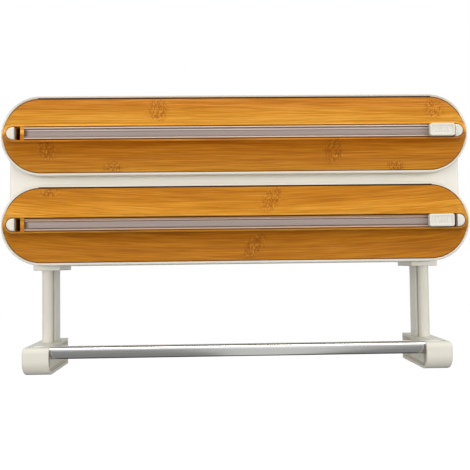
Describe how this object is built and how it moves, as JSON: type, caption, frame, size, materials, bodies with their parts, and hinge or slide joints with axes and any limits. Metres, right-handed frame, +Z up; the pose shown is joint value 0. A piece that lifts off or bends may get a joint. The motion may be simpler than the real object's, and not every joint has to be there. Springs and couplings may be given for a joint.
{
  "type": "kitchen wrap dispenser",
  "caption": "Wall dispenser for rolls of kitchen wrap: white case, hinged bamboo-faced doors with film slits and slide cutters, and a lift-out towel rod on brackets below.",
  "frame": {"origin": "centre of the wall screws, on the back face that lies against the wall", "axes": "+X along the doors to the right as seen from the front, +Y into the wall, +Z up"},
  "size_m": [0.39, 0.0883, 0.2311],
  "materials": {
    "white_abs": "satin moulded ABS",
    "bamboo": "lacquered bamboo",
    "track": "frosted translucent plastic",
    "tape": "foam mounting tape",
    "steel": "plain steel",
    "rod_metal": "polished stainless tube"
  },
  "bodies": {
    "case": {"body_shell": "white_abs", "back_cover": "white_abs", "back_cover_screws": "steel", "upper_catch_plates": "steel", "lower_catch_plates": "steel", "left_mount_plate": "white_abs", "right_mount_plate": "white_abs", "mount_plate_screws": "steel", "left_post": "white_abs", "right_post": "white_abs", "post_screws": "steel", "left_bracket": "white_abs", "right_bracket": "white_abs", "bracket_screws": "steel"},
    "upper_door": {"upper_door_frame": "white_abs", "upper_bamboo_panel": "bamboo", "upper_panel_screws": "steel", "upper_hinge_pins": "steel", "upper_door_magnets": "steel", "upper_track_tape": "tape", "upper_cutter_track": "track", "upper_track_cap_left": "white_abs", "upper_track_cap_right": "white_abs"},
    "lower_door": {"lower_door_frame": "white_abs", "lower_bamboo_panel": "bamboo", "lower_panel_screws": "steel", "lower_hinge_pins": "steel", "lower_door_magnets": "steel", "lower_track_tape": "tape", "lower_cutter_track": "track", "lower_track_cap_left": "white_abs", "lower_track_cap_right": "white_abs"},
    "upper_cutter": {"upper_cutter_slide": "white_abs", "upper_cutter_shoe": "white_abs", "upper_cutter_blade": "steel"},
    "lower_cutter": {"lower_cutter_slide": "white_abs", "lower_cutter_shoe": "white_abs", "lower_cutter_blade": "steel"},
    "rod_ends": {"rod_plug_left": "white_abs", "rod_plug_right": "white_abs"},
    "rod_tube": {"towel_rod_tube": "rod_metal"}
  },
  "joints": [
    {"name": "upper_door_hinge", "type": "hinge", "parent": "case", "child": "upper_door", "pos_m": [0, -0.0616, 0.0071], "axis": [1, 0, 0], "range_deg": [0, 90]},
    {"name": "lower_door_hinge", "type": "hinge", "parent": "case", "child": "lower_door", "pos_m": [0, -0.0616, -0.0671], "axis": [1, 0, 0], "range_deg": [0, 90]},
    {"name": "upper_cutter_slide", "type": "slide", "parent": "upper_door", "child": "upper_cutter", "axis": [-1, 0, 0], "range_m": [0, 0.328]},
    {"name": "lower_cutter_slide", "type": "slide", "parent": "lower_door", "child": "lower_cutter", "axis": [-1, 0, 0], "range_m": [0, 0.328]},
    {"name": "rod_lift", "type": "slide", "parent": "case", "child": "rod_ends", "axis": [0, 0, 1], "range_m": [0, 0.03]},
    {"name": "rod_spin", "type": "hinge", "parent": "rod_ends", "child": "rod_tube", "pos_m": [0, -0.066, -0.142], "axis": [1, 0, 0], "continuous": true}
  ]
}
